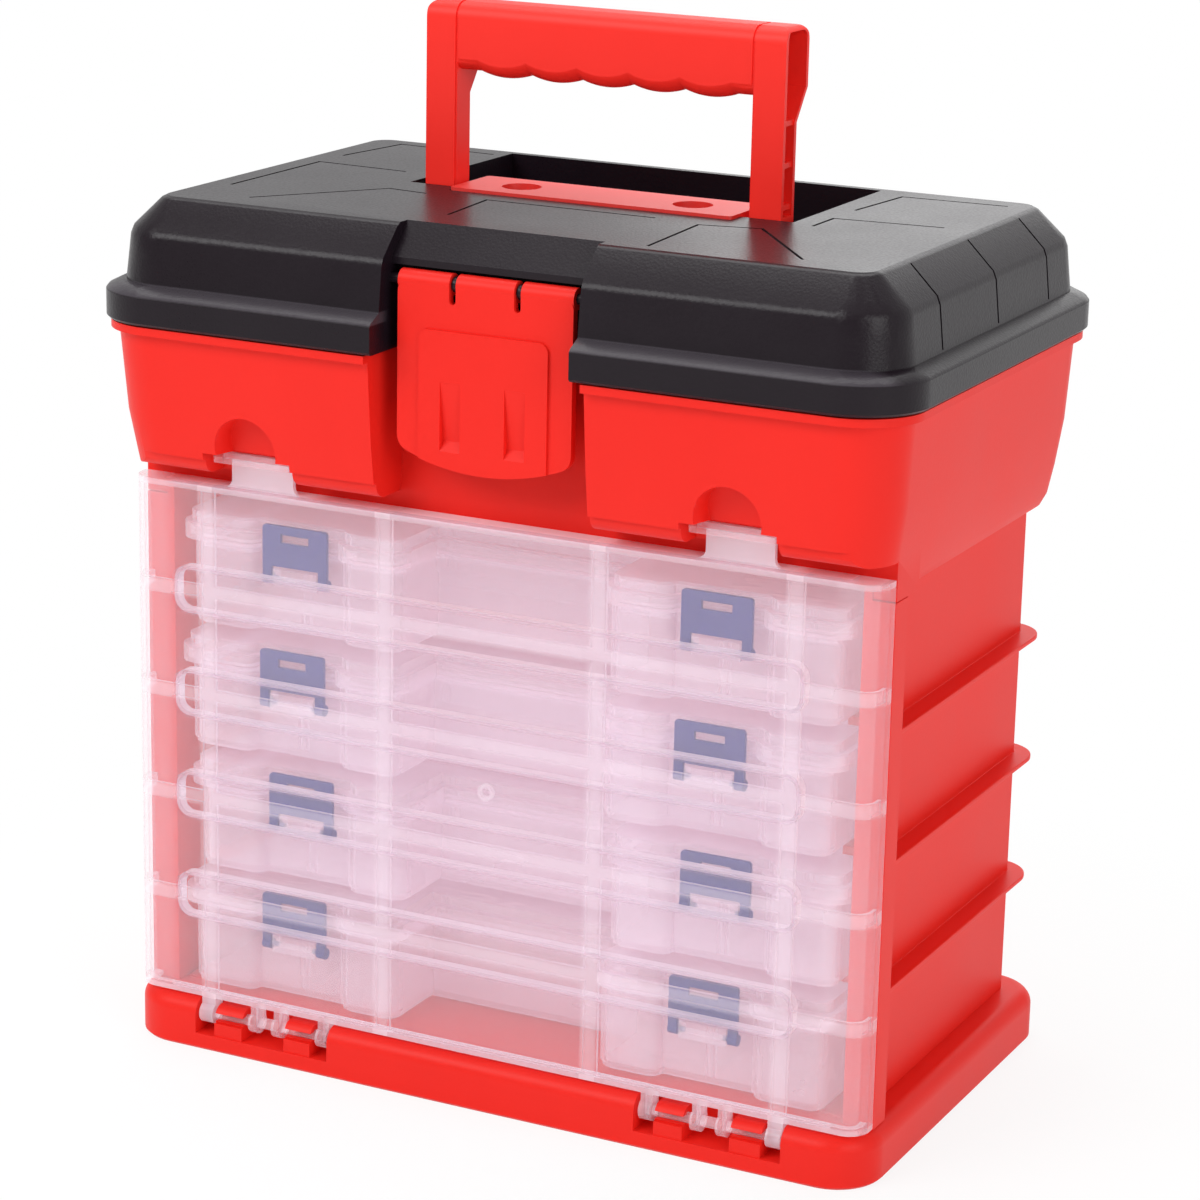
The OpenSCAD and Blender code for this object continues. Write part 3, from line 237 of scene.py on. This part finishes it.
def dress(node, finish, bevel):
    """Gives a CAD node its material and rounds its edges without changing its mesh."""
    node.data.materials.clear()
    node.data.materials.append(finish)
    weld = node.modifiers.new("weld", "WELD")
    weld.merge_threshold = 1e-5
    flat = node.modifiers.new("flat", "DECIMATE")
    flat.decimate_type = "DISSOLVE"
    flat.angle_limit = math.radians(0.6)
    edge = node.modifiers.new("edge", "BEVEL")
    edge.width = bevel
    edge.segments = 2
    edge.limit_method = "ANGLE"
    edge.angle_limit = math.radians(35)
    edge.use_clamp_overlap = True
    edge.harden_normals = False
    smooth = node.modifiers.new("smooth", "WEIGHTED_NORMAL")
    smooth.keep_sharp = False
    for poly in node.data.polygons:
        poly.use_smooth = True


RED = red_plastic("red_plastic", (0.76, 0.015, 0.009), (0.84, 0.022, 0.014), 0.17)
# Painted light: the handle gets a lighter copy of the cabinet red, standing in for the extra light it catches
# from the front and above
HANDLE_RED_PAINTED_LIT = red_plastic("red_handle_painted_lit", (0.92, 0.024, 0.016), (0.98, 0.030, 0.020), 0.22)
BRACKET_RED = red_plastic("red_bracket", (0.70, 0.018, 0.012), (0.78, 0.026, 0.018), 0.75)
BLACK = black_plastic()
CLEAR_DOOR = clear_plastic("clear_door", (0.98, 0.87, 0.95), 0.125, 0.55, 0.16, ribs=door_ribs)
# The boxes' pink tint is partly painted light, standing in for light bounced off the red cabinet; the milky
# white under it is the plastic's own
CLEAR_BOX = clear_plastic("clear_box", (0.96, 0.87, 0.95), 0.24, 0.35, 0.24, painted_glow=0.085)
CLEAR_DIVIDER = clear_plastic("clear_divider", (0.98, 0.91, 0.98), 0.06, 0.20, 0.24)
BLUE = blue_plastic()
STEEL = plated_steel()

for name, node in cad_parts.items():
    if name == "lid":
        dress(node, BLACK, 0.0011)
    elif name == "door":
        dress(node, CLEAR_DOOR, 0.0003)
    elif name == "bracket_screws":
        dress(node, STEEL, 0.0002)
    elif "_latch_" in name:
        dress(node, BLUE, 0.00025)
    elif name.endswith("_dividers"):
        dress(node, CLEAR_DIVIDER, 0.0002)
    elif name.startswith("box_"):
        dress(node, CLEAR_BOX, 0.0003)
    elif name == "handle":
        dress(node, HANDLE_RED_PAINTED_LIT, 0.0006)
    elif name == "handle_bracket":
        dress(node, BRACKET_RED, 0.0006)
    else:
        dress(node, RED, 0.0006)


def camera():
    """The photograph's camera: place, direction and lens found from the picture's perspective."""
    picture, focal = 1200.0, 3693.57
    place = (0.50385, -1.01403, 0.46830)
    azimuth, elevation, roll = (math.radians(a) for a in (26.36, 15.86, 1.24))
    back = Vector((math.sin(azimuth) * math.cos(elevation), -math.cos(azimuth) * math.cos(elevation),
                   math.sin(elevation)))
    level = Vector((math.cos(azimuth), math.sin(azimuth), 0.0))
    upright = back.cross(level)
    right = math.cos(roll) * level + math.sin(roll) * upright
    up = -math.sin(roll) * level + math.cos(roll) * upright
    data = bpy.data.cameras.new("camera")
    data.sensor_width = 36.0
    data.lens = data.sensor_width * focal / picture
    data.shift_x, data.shift_y = -1.6 / picture, 1.0 / picture
    data.clip_end = 20.0
    obj = bpy.data.objects.new("camera", data)
    obj.matrix_world = Matrix.Translation(place) @ Matrix((right, up, back)).transposed().to_4x4()
    bpy.context.scene.collection.objects.link(obj)
    bpy.context.scene.camera = obj


def area_light(name, place, aim, size, watts):
    """A soft square lamp at place that looks at aim."""
    data = bpy.data.lights.new(name, "AREA")
    data.shape = "RECTANGLE"
    data.size, data.size_y = size
    data.energy = watts
    obj = bpy.data.objects.new(name, data)
    obj.location = place
    obj.rotation_euler = (Vector(aim) - Vector(place)).to_track_quat("-Z", "Y").to_euler()
    bpy.context.scene.collection.objects.link(obj)


def studio():
    """White surround for the camera and clear plastic, dimmer to gloss from the front, and soft lamps."""
    g = Graph(bpy.data.worlds.new("surround"), "Generated")
    gloss = g.rise(g.axis("Y"), -0.5, 0.4, GLOSS_FRONT, GLOSS_BACK)
    gloss = gloss.math("MAXIMUM", g.rise(g.axis("Z"), 0.4, 0.9, 0.0, GLOSS_BACK)) * g.rays("Glossy")
    strength = g.rays("Camera", "Transmission").math("MAXIMUM", gloss).math("MAXIMUM", WORLD_LIGHT)
    white = g.make("ShaderNodeBackground", {"Color": (1.0, 1.0, 1.0, 1.0), "Strength": strength})
    bpy.context.scene.world = g.finish(white, "ShaderNodeOutputWorld")
    area_light("key", (-0.9, -1.5, 1.5), (0.0, 0.0, 0.15), (1.4, 1.0), 26.0)
    area_light("fill", (1.7, -0.9, 0.9), (0.0, 0.0, 0.15), (1.2, 1.2), 14.5)
    area_light("top", (-0.3, 0.45, 1.8), (0.0, 0.0, 0.2), (1.6, 1.2), 18.0)
    area_light("back", (-0.35, 2.0, 0.8), (0.0, 0.0, 0.25), (1.1, 0.7), 3.0)


def floor():
    """Pale floor that is white to the camera except where the object shades it."""
    g = material("floor")
    colour = g.blend(g.noise(40.0), (0.92, 0.92, 0.92), (0.95, 0.95, 0.95))
    plain = g.principled(Base_Color=colour, Roughness=0.7)
    white = g.make("ShaderNodeEmission", {"Color": (1.0, 1.0, 1.0, 1.0), "Strength": 1.0})
    distance = g.make("ShaderNodeVectorMath", [g.place], out="Value", operation="LENGTH")
    share = FLOOR_SHARE + g.above(distance, FLOOR_NEAR, FLOOR_FADE) * (1.0 - FLOOR_SHARE)
    seen = g.rays("Camera", "Glossy", "Transmission")
    mesh = bpy.data.meshes.new("floor")
    corners = [(x * FLOOR_HALF, y * FLOOR_HALF, 0.0) for x, y in ((-1, -1), (1, -1), (1, 1), (-1, 1))]
    mesh.from_pydata(corners, [], [(0, 1, 2, 3)])
    mesh.materials.append(g.finish(g.make("ShaderNodeMixShader", [seen * share, plain, white])))
    obj = bpy.data.objects.new("floor", mesh)
    bpy.context.scene.collection.objects.link(obj)


camera()
studio()
floor()
bpy.context.scene.view_settings.view_transform = "Standard"
bpy.context.scene.cycles.transparent_max_bounces = 28
bpy.context.scene.cycles.max_bounces = 10
bpy.context.scene.cycles.diffuse_bounces = 6
